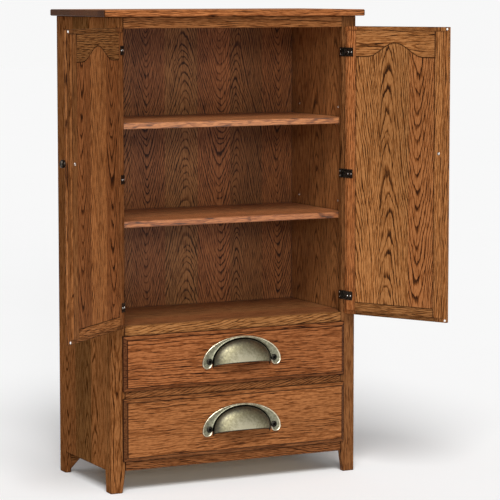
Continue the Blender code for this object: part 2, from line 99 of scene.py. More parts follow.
# --- Painted shade in grooves and inner corners, and stain along board edges, in metres ---
CREVICE_REACH = 0.007         # this far out from grooves and inner corners
EDGE_REACH = 0.0045           # and this far in from a board's own edges
SHADE_AND_STAIN_SAMPLES = 6
LIP_WIDTH = 0.0115            # bevelled border round a drawer front's raised field

# --- First number of each family of boards, and the steps from board to board ---
CASE_SEED, CASE_STEP = 0.4, 1.37
FRONT_SEED, FRONT_STEP = 23.1, 5.3
DOOR_SEED, DOOR_STEP, DOOR_BOARD_STEP = 40.3, 9.7, 1.61
BOX_SEED, BOX_STEP, BOX_BOARD_STEP = 70.9, 8.3, 1.19

# --- Light: strengths as the share of white that a plain white face shows ---
AMBIENT = 0.31
BACKDROP = 0.935
KEY_HEADING = 22.0
KEY_HEIGHT = 48.0
KEY_POWER = 0.82
KEY_SPREAD = 28.0
FILL_HEADING = 20.0
FILL_HEIGHT = 13.0
FILL_POWER = 0.24
FILL_SPREAD = 12.0
FLOOR_RADIUS = 40.0
FLOOR_SIDES = 64
FLOOR_PALE = (0.97, 0.97, 0.97)
FLOOR_SHADE = (0.96, 0.96, 0.96)

# --- Cup pulls, in metres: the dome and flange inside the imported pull's box ---
PULL_HALF = (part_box("cup_pull_upper")[1].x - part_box("cup_pull_upper")[0].x) / 2
DOME_HALF = 0.0975
DOME_RISE = 0.0705
DOME_SKIRT = 0.013            # how far the dome's rim hangs below the screw line at its ends
DOME_ARCH = 0.0165            # how much higher the rim's middle is than its ends
DOME_ARCH_POWER = 0.6         # how quickly the rim climbs from its ends
DOME_WALL = 0.0022
DOME_INSET = 0.0006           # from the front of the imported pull
DOME_AROUND = 48              # steps round the dome
DOME_UP = 20                  # and from its rim to its crown
SEAM = 0.0030                 # dark groove between dome and flange
GROOVE_IN = -0.003            # inner and outer side of the groove, from the dome's outline
GROOVE_OUT = SEAM + 0.002
GROOVE_FRONT = -0.0006
GROOVE_BACK = -0.0002
FLANGE_RISE = 0.080
FLANGE_FACE = -0.0018         # parts in front of this and outside the bead line are pale brass
FLANGE_BEAD = 0.005
FLANGE_PROFILE = (            # inset from the outline and height over the drawer front
    (0.0, 0.0), (0.0, 0.0016), (0.0005, 0.0026), (0.0014, 0.0031), (0.0024, 0.0028),
    (0.0032, 0.0020), (0.0040, 0.0017),
)
ARC_STEPS = 40
LOBE_STEPS = 12
RIM_RADIUS = 0.0015
PULL_SCREW_SIDE = 0.110
PULL_SCREW_LIFT = 0.006
PULL_SCREW_SEAT = 0.0017
PULL_SCREW_RADIUS = 0.0100
# The dark ring is painted shadow.
PULL_SCREW_FOOT = 0.0006      # dark ring round the foot of the head

# --- Screw heads, as shares of their radius ---
HEAD_HEIGHT = 0.42
HEAD_SIDE = 0.25              # share of the height that is upright
HEAD_FLAT = 0.45              # radius of the flat middle
CROSS_ARM = 0.62
CROSS_HALF = 0.13
CROSS_LIFT = 0.00005          # metres that the cross stands clear of the head
CROSS_RISE = 0.04
HEAD_STEPS = 5
HEAD_SEGMENTS = 20

# --- Small fittings, in metres ---
REBATE_DEPTH = 0.0095         # the door's lip behind its inner face
REBATE_WIDTH = 0.013
BUMPER_RADIUS = 0.0036
BUMPER_SIDE = 0.0008
BUMPER_DOME = 0.0014
HINGE_SCREW_RADIUS = 0.0027
DOOR_LEAF_INSETS = (0.0065, 0.0175)
CASE_LEAF_LIFTS = (-0.007, 0.007)
CASE_LEAF_INSET = 0.006
CASE_SCREW_SHARE = 0.8        # the case leaf's screws are smaller
KNOB_SCREW_RADIUS = 0.0048
SLEEVE_RADIUS = 0.0036
SLEEVE_LIFT = 0.030           # empty pin sleeves above each shelf
SLEEVE_PROFILE = (            # share of the radius, and height over the wall
    (1.0, 0.0), (1.0, 0.0006), (0.9, 0.0009), (0.62, 0.0009), (0.55, 0.0005), (0.5, 0.00015),
)
FITTING_SEGMENTS = 18
CREASE = 38.0                 # edges that turn more than this stay crisp, in degrees

# --- Metals: bright and dull colour, roughness, and patches per metre ---
METAL_LOOKS = {
    "brass_patina": ((0.36, 0.35, 0.245), (0.22, 0.21, 0.145), 0.50, 170.0),
    "brass_pale_edge": ((0.92, 0.84, 0.64), (0.62, 0.55, 0.38), 0.34, 160.0),
    "screw_dark": ((0.060, 0.054, 0.042), (0.024, 0.021, 0.017), 0.45, 400.0),
    "screw_bright": ((0.92, 0.90, 0.86), (0.60, 0.58, 0.54), 0.25, 500.0),
    "sleeve_metal": ((0.95, 0.93, 0.88), (0.75, 0.72, 0.66), 0.28, 500.0),
    "dark_bronze": ((0.09, 0.075, 0.06), (0.022, 0.018, 0.014), 0.42, 260.0),
    # Black for painted shadow: the seam round the dome, the crosses of the pull screws and the rings at
    # their feet.
    "painted_shadow": ((0.012, 0.010, 0.008), (0.004, 0.004, 0.003), 0.75, 300.0),
}
# Dome colours: a painted highlight low in the middle, plain brass, painted shade towards the edge, and
# painted shadow where the dome meets the flange.
BRASS_PAINTED_HIGHLIGHT = (0.56, 0.515, 0.36)
BRASS_DULL = (0.25, 0.225, 0.135)
BRASS_PAINTED_SHADE = (0.110, 0.100, 0.075)
BRASS_PAINTED_SHADOW = (0.012, 0.010, 0.008)
RUBBER_CLOUD = (0.78, 0.77, 0.74)
RUBBER_CLEAR = (0.92, 0.91, 0.88)

X_AXIS = Vector((1, 0, 0))
Y_AXIS = Vector((0, 1, 0))
Z_AXIS = Vector((0, 0, 1))

# --- Across, thickness and grain direction of the case's boards ---
UPRIGHT = (X_AXIS, Y_AXIS, Z_AXIS)
LEVEL = (Z_AXIS, -Y_AXIS, X_AXIS)
FLAT = (Y_AXIS, Z_AXIS, X_AXIS)
SIDE = (Y_AXIS, -X_AXIS, Z_AXIS)


class Net:
    """Short calls that add nodes to one node tree."""

    def __init__(self, tree):
        self.tree = tree
        self.nodes = tree.nodes
        self.links = tree.links

    def add(self, kind, inputs=(), **settings):
        node = self.nodes.new(kind)
        for name, value in settings.items():
            setattr(node, name, value)
        for key, value in dict(inputs).items():
            self.feed(node.inputs[key], value)
        return node

    def feed(self, socket, value):
        if isinstance(value, bpy.types.NodeSocket):
            self.links.new(value, socket)
        else:
            socket.default_value = value

    def math(self, operation, *values, clamp=False):
        node = self.add("ShaderNodeMath", enumerate(values), operation=operation, use_clamp=clamp)
        return node.outputs[0]

    def gain(self, value, factor, base):
        """A value times a factor, plus a base."""
        return self.math("MULTIPLY_ADD", value, factor, base)

    def around(self, value, size):
        """A value from 0 to 1 spread evenly about zero."""
        return self.gain(value, size, -size / 2)

    def vector(self, x, y, z):
        return self.add("ShaderNodeCombineXYZ", enumerate((x, y, z))).outputs[0]

    def split(self, vector):
        return self.add("ShaderNodeSeparateXYZ", {0: vector}).outputs

    def noise(self, vector, scale=1.0, detail=2.0, roughness=0.5, colour=False):
        inputs = {"Vector": vector, "Scale": scale, "Detail": detail, "Roughness": roughness}
        node = self.add("ShaderNodeTexNoise", inputs)
        return node.outputs["Color" if colour else "Fac"]

    def step(self, value, low, high, to_low=0.0, to_high=1.0):
        """Smooth step of a value between two limits."""
        inputs = {"Value": value, "From Min": low, "From Max": high, "To Min": to_low, "To Max": to_high}
        node = self.add("ShaderNodeMapRange", inputs, interpolation_type="SMOOTHSTEP")
        return node.outputs["Result"]

    def blend(self, factor, first, second, mode="MIX"):
        node = self.add("ShaderNodeMix", data_type="RGBA", blend_type=mode)
        self.feed(node.inputs[0], factor)
        for socket, value in ((node.inputs[6], first), (node.inputs[7], second)):
            self.feed(socket, value if isinstance(value, bpy.types.NodeSocket) else (*value, 1.0))
        return node.outputs[2]

    def bump(self, strength, distance, height):
        inputs = {"Strength": strength, "Distance": distance, "Height": height}
        return self.add("ShaderNodeBump", inputs).outputs[0]

    def shelter(self, reach, **settings):
        """Share of the surroundings within reach that a point can see."""
        inputs = {"Distance": reach}
        node = self.add("ShaderNodeAmbientOcclusion", inputs, samples=SHADE_AND_STAIN_SAMPLES, **settings)
        return node.outputs["AO"]


def stretched(net, spot, shift, scale):
    """A noise vector with one scale across the board and another along its grain."""
    across, along = scale
    x, y, z = spot
    moved = net.gain(x, across, shift)
    return net.vector(moved, net.math("MULTIPLY", y, across), net.math("MULTIPLY", z, along))


def find_strip(net, given, x):
    """The glued strip that a point lies in: the place within it, its number and its chances."""
    lane = net.math("ADD", net.math("DIVIDE", x, given["Strip"]), 0.5)
    index = net.math("FLOOR", lane)
    inside = net.math("SUBTRACT", net.math("FRACT", lane), 0.5)
    chance = net.add("ShaderNodeTexWhiteNoise", {"Vector": net.vector(index, given["Seed"], 0.0)})
    return net.math("MULTIPLY", inside, given["Strip"]), index, net.split(chance.outputs["Color"])


def ring_radius(net, given, spot, local, chances, shift):
    """Distance from the tree's heart, tapered along the board so that its rings draw V shapes."""
    _, y, z = spot
    first, second, third = chances
    wander = net.vector(shift, 0.0, net.math("MULTIPLY", z, HEART_SCALE))
    sway, rise, _ = net.split(net.noise(wander, colour=True))
    room = net.math("MULTIPLY", given["Strip"], HEART_SPREAD)
    heart = net.math("MULTIPLY", net.math("SUBTRACT", first, 0.5), room)
    side = net.math("SUBTRACT", local, net.math("ADD", heart, given["Rift"]))
    side = net.math("ADD", side, net.around(sway, HEART_SWAY))
    depth = net.math("MULTIPLY", given["Pith"], net.gain(second, 0.9, 0.55))
    deep = net.math("ADD", net.math("ADD", y, depth), net.around(rise, HEART_RISE))
    squares = net.math("ADD", net.math("MULTIPLY", side, side), net.math("MULTIPLY", deep, deep))
    way = net.math("SIGN", net.math("SUBTRACT", third, 0.5))
    taper = net.math("MULTIPLY", net.math("MULTIPLY", z, given["Taper"]), way)
    return net.math("ADD", net.math("SQRT", squares), taper)


def early_wood(net, given, spot, radius, shift, drift):
    """How strongly the dark early wood of each year shows."""
    ripple = net.noise(stretched(net, spot, drift, RIPPLE_SCALE))
    shake = net.noise(stretched(net, spot, shift, SHAKE_SCALE))
    radius = net.math("ADD", radius, net.around(ripple, RIPPLE_SIZE))
    radius = net.math("ADD", radius, net.around(shake, SHAKE_SIZE))
    years = net.noise(net.vector(net.math("MULTIPLY", radius, YEARS_SCALE), shift, 0.0), detail=1.0)
    rings = net.math("DIVIDE", radius, RING_SPACING)
    ring = net.math("FRACT", net.math("ADD", rings, net.math("MULTIPLY", years, YEARS_SIZE)))
    early = net.math("MAXIMUM", net.step(ring, RING_ONSET, 1.0), net.step(ring, 0.0, RING_FADE, 1.0, 0.0))
    force = net.step(net.noise(stretched(net, spot, shift, FORCE_SCALE)), 0.34, 0.62, 0.40, 1.0)
    return net.math("MULTIPLY", early, net.math("MULTIPLY", force, given["Strength"]))


def make_oak_group():
    """Growth rings, pores and colour of one board.

    The board's vector is in metres: X across the board, Y through its thickness and Z along the
    grain. A wide board is glued up from strips, each with rings of its own.
    """
    group = bpy.data.node_groups.new("oak_board", "ShaderNodeTree")
    face = group.interface
    face.new_socket("Vector", in_out="INPUT", socket_type="NodeSocketVector")
    for name in ("End", "Seed", "Strip", "Pith", "Rift", "Taper", "Strength", "Tone", "Line"):
        face.new_socket(name, in_out="INPUT", socket_type="NodeSocketFloat")
    for name in ("Light", "Mid", "Dark"):
        face.new_socket(name, in_out="INPUT", socket_type="NodeSocketColor")
    face.new_socket("Color", in_out="OUTPUT", socket_type="NodeSocketColor")
    face.new_socket("Roughness", in_out="OUTPUT", socket_type="NodeSocketFloat")
    face.new_socket("Height", in_out="OUTPUT", socket_type="NodeSocketFloat")
    net = Net(group)
    given = net.add("NodeGroupInput").outputs
    spot = tuple(net.split(given["Vector"]))

    local, index, chances = find_strip(net, given, spot[0])
    shift = net.gain(index, 3.7, net.math("MULTIPLY", given["Seed"], 11.3))
    drift = net.math("MULTIPLY", given["Seed"], 5.1)
    radius = ring_radius(net, given, spot, local, chances, shift)
    early = early_wood(net, given, spot, radius, shift, drift)

    # Pores darken the early wood most, and dot the rest.
    pore = net.step(net.noise(stretched(net, spot, drift, PORE_SCALE), roughness=0.6), 0.50, 0.60)
    fine = net.step(net.noise(stretched(net, spot, drift, FINE_SCALE)), 0.46, 0.60)
    grain = net.math("MULTIPLY", early, net.gain(pore, 0.40, 0.62))
    grain = net.math("ADD", grain, net.math("MULTIPLY", pore, 0.36))
    grain = net.math("ADD", grain, net.math("MULTIPLY", fine, 0.22), clamp=True)

    # Light wood, dark grain, darker ends, and lines of painted shade and stain.
    wood = net.blend(net.step(grain, 0.0, 0.40), given["Light"], given["Mid"])
    wood = net.blend(net.step(grain, 0.34, 0.95), wood, given["Dark"])
    ends = net.math("MULTIPLY", net.step(given["End"], 0.20, 0.75), END_STAIN)
    wood = net.blend(ends, wood, given["Dark"])
    wood = net.blend(given["Line"], wood, given["Dark"])

    # Strips differ in lightness and warmth, and a board in soft patches.
    patch = net.noise(stretched(net, spot, drift, PATCH_SCALE))
    tone = net.gain(patch, 0.60, net.gain(chances[0], 0.44, 0.48))
    tone = net.math("MULTIPLY", tone, given["Tone"])
    cool = net.math("MULTIPLY", tone, net.gain(chances[2], 0.22, 0.89))
    wood = net.blend(1.0, wood, net.vector(tone, cool, cool), "MULTIPLY")
    rough = net.gain(grain, 0.14, net.gain(patch, 0.10, 0.34))
    height = net.math("MULTIPLY", net.math("ADD", pore, net.math("MULTIPLY", early, 0.5)), -1.0)
    result = net.add("NodeGroupOutput")
    for name, value in (("Color", wood), ("Roughness", rough), ("Height", height)):
        net.feed(result.inputs[name], value)
    return group


def new_material(name):
    """A material, short calls for its nodes, and its shader."""
    material = bpy.data.materials.new(name)
    material.use_nodes = True
    net = Net(material.node_tree)
    return material, net, material.node_tree.nodes["Principled BSDF"]


def board_material(
    name, place, axes, seed, strip, rift=0.0, taper=0.12, strength=1.0, tone=1.0, gloss=0.05,
    colours=OAK, field=None
):
    """Oak for one board. Axes are its across, thickness and grain directions at rest.

    Strip is the width of its glued strips, rift how far the tree's heart lies to one side, taper
    how fast the rings climb along the board, strength how bold they are, and tone its lightness.
    Field holds half the height and length of a raised front, where painted shadow lines and painted shade
    are laid round the edges.
    """
    material, net, shader = new_material("oak_" + name)
    turn = Matrix([list(axis) for axis in axes]).transposed().to_euler()
    spot = net.add("ShaderNodeTexCoord").outputs
    inputs = {"Vector": spot["Object"], "Location": place, "Rotation": turn}
    board = net.add("ShaderNodeMapping", inputs, vector_type="TEXTURE").outputs[0]
    inputs = {0: spot["Normal"], 1: axes[2]}
    ends = net.add("ShaderNodeVectorMath", inputs, operation="DOT_PRODUCT").outputs["Value"]
    # Painted shade darkens grooves and inner corners where little of the surroundings is in reach; stain
    # darkens the board's own edges.
    crevice_shade = net.step(net.shelter(CREVICE_REACH), 0.30, 0.72, 0.80, 0.0)
    edge = net.step(net.shelter(EDGE_REACH, inside=True, only_local=True), 0.45, 0.90, 0.70, 0.0)
    line = net.math("MAXIMUM", crevice_shade, edge)
    # Painted shadow lines and painted shade round a drawer front's raised field.
    if field:
        line = net.math("MAXIMUM", line, lip_painted_shadows(net, board, *field))
    light, mid, dark = colours
    values = {
        "Vector": board, "End": net.math("ABSOLUTE", ends), "Seed": seed, "Strip": strip,
        "Pith": PITH_DEPTH, "Rift": rift, "Taper": taper, "Tone": tone,
        "Strength": strength, "Line": line,
        "Light": (*light, 1.0), "Mid": (*mid, 1.0), "Dark": (*dark, 1.0),
    }
    oak = net.add("ShaderNodeGroup", node_tree=OAK_GROUP)
    for key, value in values.items():
        net.feed(oak.inputs[key], value)
    net.feed(shader.inputs["Base Color"], oak.outputs["Color"])
    net.feed(shader.inputs["Roughness"], oak.outputs["Roughness"])
    net.feed(shader.inputs["Normal"], net.bump(0.35, 0.0006, oak.outputs["Height"]))
    shader.inputs["Specular IOR Level"].default_value = gloss
    return material


def lip_painted_shadows(net, board, half_height, half_length):
    """Painted shadow lines on a lipped front, at its outer edge and the step round its raised field, and
    painted shade on its bevel.
    """
    x, _, z = net.split(board)
    beside = net.math("SUBTRACT", half_height, net.math("ABSOLUTE", x))
    inset = net.math("MINIMUM", beside, net.math("SUBTRACT", half_length, net.math("ABSOLUTE", z)))
    outer = net.step(inset, 0.0008, 0.0022, 1.0, 0.0)
    off_step = net.math("ABSOLUTE", net.math("SUBTRACT", inset, LIP_WIDTH))
    step = net.step(off_step, 0.0008, 0.0024, 0.85, 0.0)
    bevel = net.step(inset, LIP_WIDTH, LIP_WIDTH + 0.001, 0.22, 0.0)
    return net.math("MAXIMUM", net.math("MAXIMUM", outer, step), bevel)


def dress(node, material):
    """Give one CAD node its material."""
    for slot in NODES[node].material_slots:
        slot.link = "OBJECT"
        slot.material = material


def centre_of(node):
    low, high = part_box(node)
    return (low + high) / 2


def turned(angle):
    """A door's own across and thickness axes, turned about the upright."""
    spin = Matrix.Rotation(math.radians(angle), 3, "Z")
    return spin @ X_AXIS, spin @ Y_AXIS


def dress_case():
    """Oak of the case. Each row: axes, strip, rift, taper, strength, tone and gloss."""
    table = {
        # Tone 1.60 is painted light: the slab is made lighter to stand in for the light along its front
        # edge.
        "top_slab": (FLAT, 0.110, 0.03, 0.015, 0.8, 1.60),
        # Tone 0.78 is painted shade: the outer left side is made darker for the weaker light on it.
        "side_panel_left": (SIDE, 0.125, 0.0, 0.10, 0.9, 0.78, 0.0),
        # Tone 1.30 is painted light: the inner right side is made lighter for the light reaching inside
        # the case.
        "side_panel_right": (SIDE, 0.125, 0.0, 0.10, 0.9, 1.30, 0.30),
        "stile_left": (UPRIGHT, WHOLE, 0.06, 0.03, 0.9, 0.94, 0.0),
        "stile_right": (UPRIGHT, WHOLE, -0.06, 0.03, 0.7, 0.68),
        "top_rail": (LEVEL, WHOLE, 0.05, 0.03, 0.7, 0.92),
        "mid_rail": (LEVEL, WHOLE, -0.02, 0.14, 1.1, 0.90),
        "divider_rail": (LEVEL, WHOLE, 0.005, 0.30, 1.3, 1.0),
        # Tone 0.55 is painted shade: the bottom rail is made darker for the shade under the drawer
        # fronts.
        "bottom_rail": (LEVEL, WHOLE, 0.01, 0.20, 1.2, 0.55),
        "cabinet_floor": (FLAT, 0.130, 0.03, 0.04, 0.8, 1.0, 0.45),
        # Tones 1.45 and 1.15 are painted light: the shelves are made lighter for the sheen on their tops.
        "shelf_upper": (FLAT, 0.125, 0.03, 0.02, 0.7, 1.45, 1.0),
        "shelf_lower": (FLAT, 0.125, 0.03, 0.02, 0.7, 1.15, 0.8),
        "back_panel": (UPRIGHT, 0.115, 0.0, 0.26, 1.35, 1.06, 0.30),
        "back_foot_rail": (LEVEL, WHOLE, 0.05, 0.12, 1.0, 1.0),
    }
    for i, (node, (axes, *looks)) in enumerate(table.items()):
        dress(node, board_material(node, centre_of(node), axes, i * CASE_STEP + CASE_SEED, *looks))


def dress_drawers():
    """Stained fronts, and pale oak for the boxes behind them and their guides."""
    for i, (drawer, rift, strength) in enumerate((("upper", 0.055, 0.85), ("lower", -0.085, 0.60))):
        node = f"drawer_{drawer}_front"
        low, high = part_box(node)
        field = ((high.z - low.z) / 2, (high.x - low.x) / 2)
        looks = (WHOLE, rift, 0.02, strength, 1.0)
        seed = FRONT_SEED + FRONT_STEP * i
        dress(node, board_material(node, centre_of(node), LEVEL, seed, *looks, field=field))
    for i, drawer in enumerate(("upper", "lower")):
        boards = {
            f"drawer_{drawer}_side_left": (Z_AXIS, X_AXIS, Y_AXIS),
            f"drawer_{drawer}_side_right": (Z_AXIS, X_AXIS, Y_AXIS),
            f"drawer_{drawer}_back": LEVEL,
            f"drawer_{drawer}_bottom": FLAT,
            f"drawer_guide_{drawer}": (X_AXIS, -Z_AXIS, Y_AXIS),
        }
        for j, (node, axes) in enumerate(boards.items()):
            seed = BOX_SEED + BOX_STEP * i + BOX_BOARD_STEP * j
            dress(node, board_material(node, centre_of(node), axes, seed, BOX_STRIP, colours=PALE_OAK))


def dress_doors():
    """Oak of the doors. Each row: axes, strip, rift, taper, strength and tone."""
    # The right door's lightness of 1.20 is painted light: it stands in for the stronger light on its
    # inner face.
    for i, (door, lightness, arch_tone) in enumerate((("left", 1.0, 0.75), ("right", 1.20, 1.25))):
        across, through = turned(SWING[door])
        rising = (across, through, Z_AXIS)
        lying = (Z_AXIS, -through, across)
        table = {
            "hinge_stile": (rising, WHOLE, 0.05, 0.03, 0.9, 1.0),
            "free_stile": (rising, WHOLE, -0.06, 0.03, 0.9, 1.1),
            "bottom_rail": (lying, WHOLE, 0.0, 0.12, 1.0, 0.9),
            "arched_rail": (lying, WHOLE, 0.06, 0.03, 0.9, arch_tone),
            "panel": (rising, 0.105, 0.035, 0.12, 1.35, 1.06),
        }
        for j, (part, (axes, *looks, tone)) in enumerate(table.items()):
            node = f"door_{door}_{part}"
            seed = DOOR_SEED + DOOR_STEP * i + DOOR_BOARD_STEP * j
            dress(node, board_material(node, centre_of(node), axes, seed, *looks, tone * lightness))


def dress_fittings():
    """Metal for hinges, knobs and shelf pins."""
    for node in NODES:
        if node.startswith("hinge_") or node.endswith("_knob"):
            dress(node, METAL["dark_bronze"])
        elif node.startswith("pin_"):
            dress(node, METAL["sleeve_metal"])


def make_metal(name, bright, dull, roughness, speckle):
    """Metal whose patina comes and goes in soft patches."""
    material, net, shader = new_material(name)
    where = net.add("ShaderNodeTexCoord").outputs["Object"]
    patch = net.step(net.noise(where, speckle, 4.0, 0.6), 0.40, 0.62)
    grit = net.noise(where, speckle * 9.0)
    net.feed(shader.inputs["Base Color"], net.blend(patch, dull, bright))
    net.feed(shader.inputs["Roughness"], net.gain(grit, 0.20, roughness - 0.10))
    net.feed(shader.inputs["Normal"], net.bump(0.25, 0.0003, grit))
    shader.inputs["Metallic"].default_value = 1.0
    return material


def make_patina_brass_with_painted_light():
    """Antique brass of the domes: mottled patina, a painted highlight low in the middle, painted shade
    towards the flange and painted shadow black where it meets the flange.
    """
    material, net, shader = new_material("antique_brass")
    where = net.add("ShaderNodeTexCoord").outputs["Object"]
    x, y, z = net.split(where)
    aside = net.math("DIVIDE", x, DOME_HALF)
    above = net.math("DIVIDE", z, DOME_RISE)
    away = net.math("ADD", net.math("MULTIPLY", aside, aside), net.math("MULTIPLY", above, above))
    mottle = net.noise(where, 130.0, 4.0, 0.65)
    grit = net.noise(where, 900.0)
    # Painted light: a highlight low in the middle of the dome that darkens towards its edge, broken up by
    # mottled patina.
    light_falloff_and_patina = net.math("ADD", net.math("SQRT", away), net.around(mottle, 0.70))
    light_falloff_and_patina = net.math("ADD", light_falloff_and_patina, net.around(grit, 0.24))
    tint = net.blend(net.step(light_falloff_and_patina, 0.25, 0.75), BRASS_PAINTED_HIGHLIGHT, BRASS_DULL)
    tint = net.blend(net.step(light_falloff_and_patina, 0.65, 1.05), tint, BRASS_PAINTED_SHADE)
    # Painted shadow: black where the dome meets the flange.
    tint = net.blend(net.step(y, -0.0065, -0.0030), tint, BRASS_PAINTED_SHADOW)
    net.feed(shader.inputs["Base Color"], tint)
    net.feed(shader.inputs["Roughness"], net.gain(mottle, 0.16, 0.38))
    net.feed(shader.inputs["Normal"], net.bump(0.30, 0.0004, grit))
    shader.inputs["Metallic"].default_value = 1.0
    return material


def make_rubber():
    """Clear soft plastic of the door bumpers, slightly clouded."""
    material, net, shader = new_material("clear_rubber")
    where = net.add("ShaderNodeTexCoord").outputs["Object"]
    cloud = net.noise(where, 700.0)
    net.feed(shader.inputs["Base Color"], net.blend(cloud, RUBBER_CLOUD, RUBBER_CLEAR))
    net.feed(shader.inputs["Roughness"], net.gain(cloud, 0.15, 0.12))
    return material


def mesh_piece(name, work, material, body, place=None):
    """Turn a built mesh into a visible piece that rides on one body."""
    bmesh.ops.recalc_face_normals(work, faces=work.faces)
    mesh = bpy.data.meshes.new(name)
    work.to_mesh(mesh)
    work.free()
    mesh.shade_smooth()
    mesh.set_sharp_from_angle(angle=math.radians(CREASE))
    mesh.materials.append(material)
    piece = bpy.data.objects.new(name, mesh)
    bpy.context.scene.collection.objects.link(piece)
    if place is not None:
        piece.matrix_world = place
    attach(piece, body)
    return piece


def add_grid(work, rows, closed=False):
    """Skin rows of points with quads; closed rows join end to end."""
    lines = [[work.verts.new(point) for point in row] for row in rows]
    for first, second in zip(lines, lines[1:]):
        count = len(first)
        for i in range(count if closed else count - 1):
            j = (i + 1) % count
            work.faces.new((first[i], first[j], second[j], second[i]))
    return lines


def add_solid(work, rows):
    """Skin closed rows of points and cap both ends."""
    lines = add_grid(work, rows, closed=True)
    work.faces.new(lines[0])
    work.faces.new(lines[-1])


def add_lathe(work, profile, segments, place):
    """Turn a profile of (radius, height) pairs about the place's own Z axis."""
    rows = []
    for radius, height in profile:
        ring = []
        for i in range(segments):
            turn = 2 * math.pi * i / segments
            ring.append(place @ Vector((radius * math.cos(turn), radius * math.sin(turn), height)))
        rows.append(ring)
    add_solid(work, rows)


def add_tube(work, path, radius, segments=8):
    """Round tube along a path that lies close to one plane."""
    rows = []
    for i, point in enumerate(path):
        ahead = path[min(i + 1, len(path) - 1)] - path[max(i - 1, 0)]
        across = ahead.cross(Z_AXIS).normalized()
        other = across.cross(ahead).normalized()
        ring = []
        for j in range(segments):
            turn = 2 * math.pi * j / segments
            ring.append(point + radius * (math.cos(turn) * across + math.sin(turn) * other))
        rows.append(ring)
    add_solid(work, rows)


def head_profile(radius):
    """Side of a domed screw head, from the surface it sits on to its flat middle."""
    height = radius * HEAD_HEIGHT
    sides = [(radius, 0.0), (radius, height * HEAD_SIDE)]
    for i in range(1, HEAD_STEPS + 1):
        turn = math.pi / 2 * i / HEAD_STEPS
        reach = HEAD_FLAT + (1 - HEAD_FLAT) * math.cos(turn)
        lift = HEAD_SIDE + (1 - HEAD_SIDE) * math.sin(turn)
        sides.append((radius * reach, height * lift))
    return sides


def add_cross_head(work, radius, place):
    """Domed screw head with a raised cross."""
    add_lathe(work, head_profile(radius), HEAD_SEGMENTS, place)
    top = radius * HEAD_HEIGHT + CROSS_LIFT
    arm, half = radius * CROSS_ARM, radius * CROSS_HALF
    corners = ((-arm, -half), (arm, -half), (arm, half), (-arm, half))
    for turn in (math.pi / 4, math.pi * 3 / 4):
        spin = place @ Matrix.Rotation(turn, 4, "Z")
        low = [spin @ Vector((x, y, top)) for x, y in corners]
        high = [point + (spin.to_3x3() @ Z_AXIS) * radius * CROSS_RISE for point in low]
        add_solid(work, (low, high))


def facing_place(point, outward):
    """Placement whose local Z points outward from a surface."""
    return Matrix.Translation(point) @ outward.to_track_quat("Z", "Y").to_matrix().to_4x4()


def arc(centre, across, rise, start, end, steps):
    """Points of an arc seen from the front. Its start and end are counted in half turns."""
    points = []
    for i in range(steps + 1):
        turn = math.pi * (start + (end - start) * i / steps)
        points.append(Vector((centre + across * math.cos(turn), 0, rise * math.sin(turn))))
    return points


def flange_outline():
    """Arched flange with round lobes, as seen from the front; the dome's groove is its inner side."""
    inner_half = DOME_HALF + SEAM
    lobe = (PULL_HALF - inner_half) / 2
    points = arc(0, PULL_HALF, FLANGE_RISE, 0, 1, ARC_STEPS)
    points += arc(lobe - PULL_HALF, lobe, lobe, 1, 2, LOBE_STEPS)[1:-1]
    points += arc(0, inner_half, DOME_RISE + SEAM, 1, 0, ARC_STEPS)
    points += arc(PULL_HALF - lobe, lobe, lobe, 1, 2, LOBE_STEPS)[1:-1]
    return points


def inset_loop(points, distance):
    """Points moved towards the inside of their closed outline."""
    moved = []
    for i, point in enumerate(points):
        ahead = (points[(i + 1) % len(points)] - points[i - 1]).normalized()
        moved.append(point + distance * ahead.cross(Y_AXIS))
    return moved


def make_flange(node, body, place):
    """Flange with a bead round it, pale brass along its outer edge. It replaces the CAD pull."""
    outline = flange_outline()
    work = bmesh.new()
    rows = []
    for inset, height in FLANGE_PROFILE:
        rows.append([point - Y_AXIS * height for point in inset_loop(outline, inset)])
    add_solid(work, rows)
    flange = mesh_piece(node + "_flange", work, METAL["brass_patina"], body, place)
    flange.data.materials.append(METAL["brass_pale_edge"])
    middle = (PULL_HALF + DOME_HALF) / 2
    for polygon in flange.data.polygons:
        x, y, z = polygon.center
        outside = z < 0 or (x / middle) ** 2 + (z / (FLANGE_RISE - FLANGE_BEAD)) ** 2 > 1
        if len(polygon.vertices) == 4 and y < FLANGE_FACE and outside:
            polygon.material_index = 1
    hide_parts(node)


def make_groove(node, body, place):
    """Black strip of painted shadow in the seam between dome and flange."""
    edges = (
        (GROOVE_IN, GROOVE_FRONT), (GROOVE_OUT, GROOVE_FRONT),
        (GROOVE_OUT, GROOVE_BACK), (GROOVE_IN, GROOVE_BACK),
    )
    work = bmesh.new()
    rows = []
    for i in range(ARC_STEPS + 1):
        turn = math.pi * i / ARC_STEPS
        row = []
        for grow, y in edges:
            x = (DOME_HALF + grow) * math.cos(turn)
            z = (DOME_RISE + grow) * math.sin(turn)
            row.append(Vector((x, y, z)))
        rows.append(row)
    add_solid(work, rows)
    mesh_piece(node + "_groove", work, METAL["painted_shadow"], body, place)


def add_shell(work, reach, wall):
    """One skin of the quarter-round dome, from its arched rim to its crown."""
    top = DOME_RISE - wall
    rows = []
    for j in range(DOME_UP):
        row = []
        for i in range(DOME_AROUND + 1):
            turn = math.pi * i / DOME_AROUND
            foot = DOME_ARCH * max(math.sin(turn), 0.0) ** DOME_ARCH_POWER - DOME_SKIRT
            z = foot + (top - foot) * math.sin(math.pi / 2 * j / DOME_UP)
            shrink = math.sqrt(1 - (max(z, 0.0) / top) ** 2)
            x = (DOME_HALF - wall) * math.cos(turn) * shrink
            y = -(reach - DOME_INSET - wall) * math.sin(turn) * shrink
            row.append(Vector((x, y, z)))
        rows.append(row)
    lines = add_grid(work, rows)
    crown = work.verts.new((0, 0, top))
    for first, second in zip(lines[-1], lines[-1][1:]):
        work.faces.new((first, second, crown))
    return lines, crown


